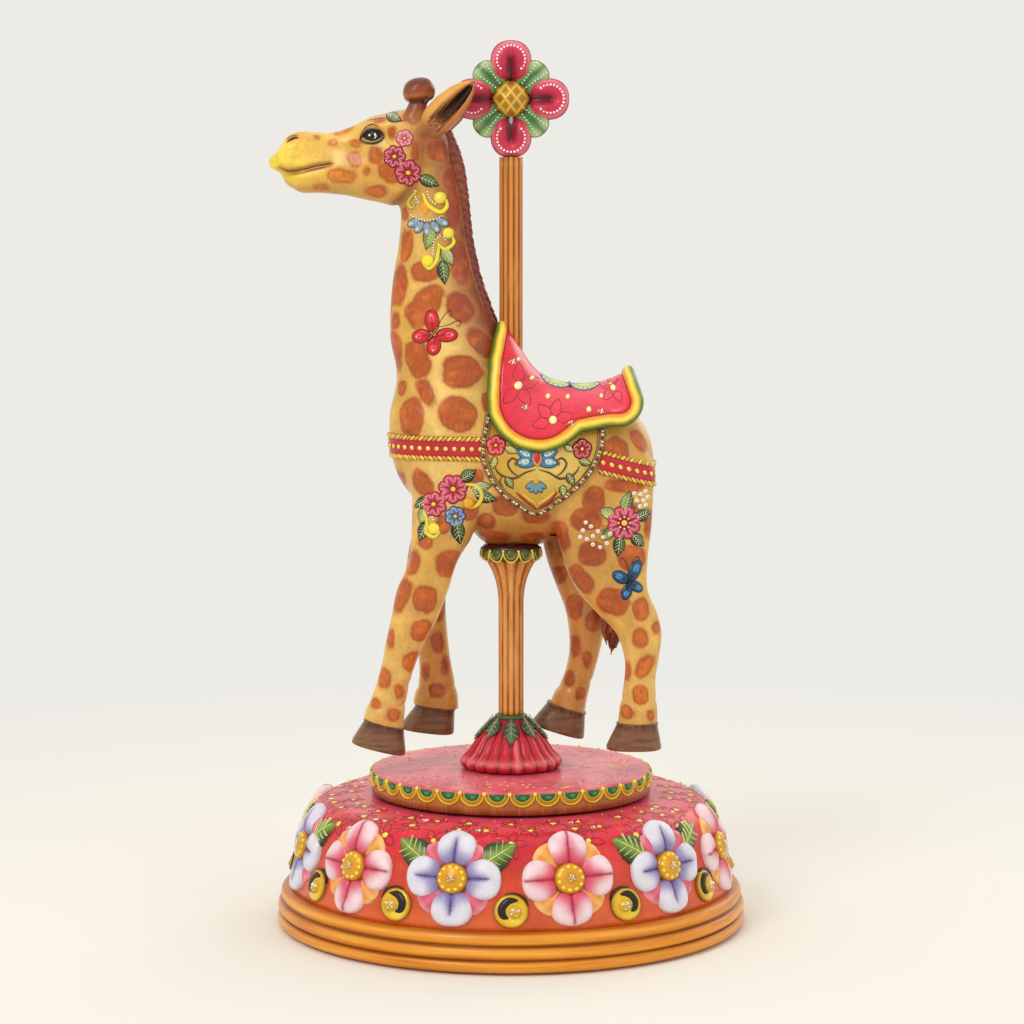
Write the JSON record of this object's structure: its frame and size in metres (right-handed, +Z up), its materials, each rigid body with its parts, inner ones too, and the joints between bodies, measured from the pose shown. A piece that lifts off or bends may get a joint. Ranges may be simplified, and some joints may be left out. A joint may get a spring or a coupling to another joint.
{
  "type": "carousel giraffe figurine",
  "caption": "Carved and painted wooden giraffe with saddle on a fluted pole, over a round drum stand with carved flowers; the disc, pole and giraffe turn.",
  "frame": {"origin": "centre of the stand's underside, on the turning axis", "axes": "+Z up along the pole; the giraffe looks along -X and its left side faces -Y"},
  "size_m": [0.242, 0.24, 0.4481],
  "materials": {
    "stained_wood": "gloss",
    "drum_paint": "gloss",
    "plain_wood": "matte",
    "brass": "satin",
    "felt": "matte",
    "purple_petal": "gloss",
    "pink_petal": "gloss",
    "back_pink": "gloss",
    "back_yellow": "gloss",
    "gold_paint": "gloss",
    "leaf_green": "gloss",
    "disc_paint": "gloss",
    "steel": "satin",
    "berry_red": "gloss",
    "finial_crimson": "gloss",
    "giraffe_skin": "gloss",
    "dark_hair": "gloss",
    "eye_paint": "gloss",
    "hoof_paint": "gloss",
    "saddle_flesh": "gloss",
    "saddle_rind": "gloss",
    "blanket_gold": "gloss",
    "band_crimson": "gloss"
  },
  "bodies": {
    "base": {"plinth_moulding": "stained_wood", "drum": "drum_paint", "base_plate": "plain_wood", "base_screws": "brass", "felt_pad": "felt", "pivot_bush": "brass", "petals_purple": "purple_petal", "petals_pink": "pink_petal", "back_petals_pink": "back_pink", "back_petals_yellow": "back_yellow", "flower_buttons": "gold_paint", "base_leaves": "leaf_green", "base_scrolls": "gold_paint"},
    "carousel": {"turntable_disc": "disc_paint", "pole_rod": "steel", "rod_washer": "steel", "rod_nut": "steel", "pole_foot": "berry_red", "foot_calyx": "leaf_green", "lower_pole": "stained_wood", "capital_ring": "leaf_green", "upper_pole": "stained_wood", "finial_pin": "steel", "finial_petals": "finial_crimson", "finial_leaves": "leaf_green", "finial_ball": "gold_paint", "torso": "giraffe_skin", "neck": "giraffe_skin", "head": "giraffe_skin", "mane": "dark_hair", "ear_left": "giraffe_skin", "ear_right": "giraffe_skin", "horn_left": "dark_hair", "horn_right": "dark_hair", "eye_left": "eye_paint", "eye_right": "eye_paint", "leg_front_left": "giraffe_skin", "leg_front_right": "giraffe_skin", "leg_hind_left": "giraffe_skin", "leg_hind_right": "giraffe_skin", "hoof_front_left": "hoof_paint", "hoof_front_right": "hoof_paint", "hoof_hind_left": "hoof_paint", "hoof_hind_right": "hoof_paint", "tail": "dark_hair", "tail_tuft": "dark_hair", "saddle_seat": "saddle_flesh", "saddle_rim": "saddle_rind", "blanket_left": "blanket_gold", "blanket_right": "blanket_gold", "front_band": "band_crimson", "rear_band": "band_crimson", "glue_dowels": "plain_wood"}
  },
  "joints": [
    {"name": "turntable_turn", "type": "hinge", "parent": "base", "child": "carousel", "pos_m": [0, 0, 0.0675], "axis": [0, 0, 1], "continuous": true}
  ]
}
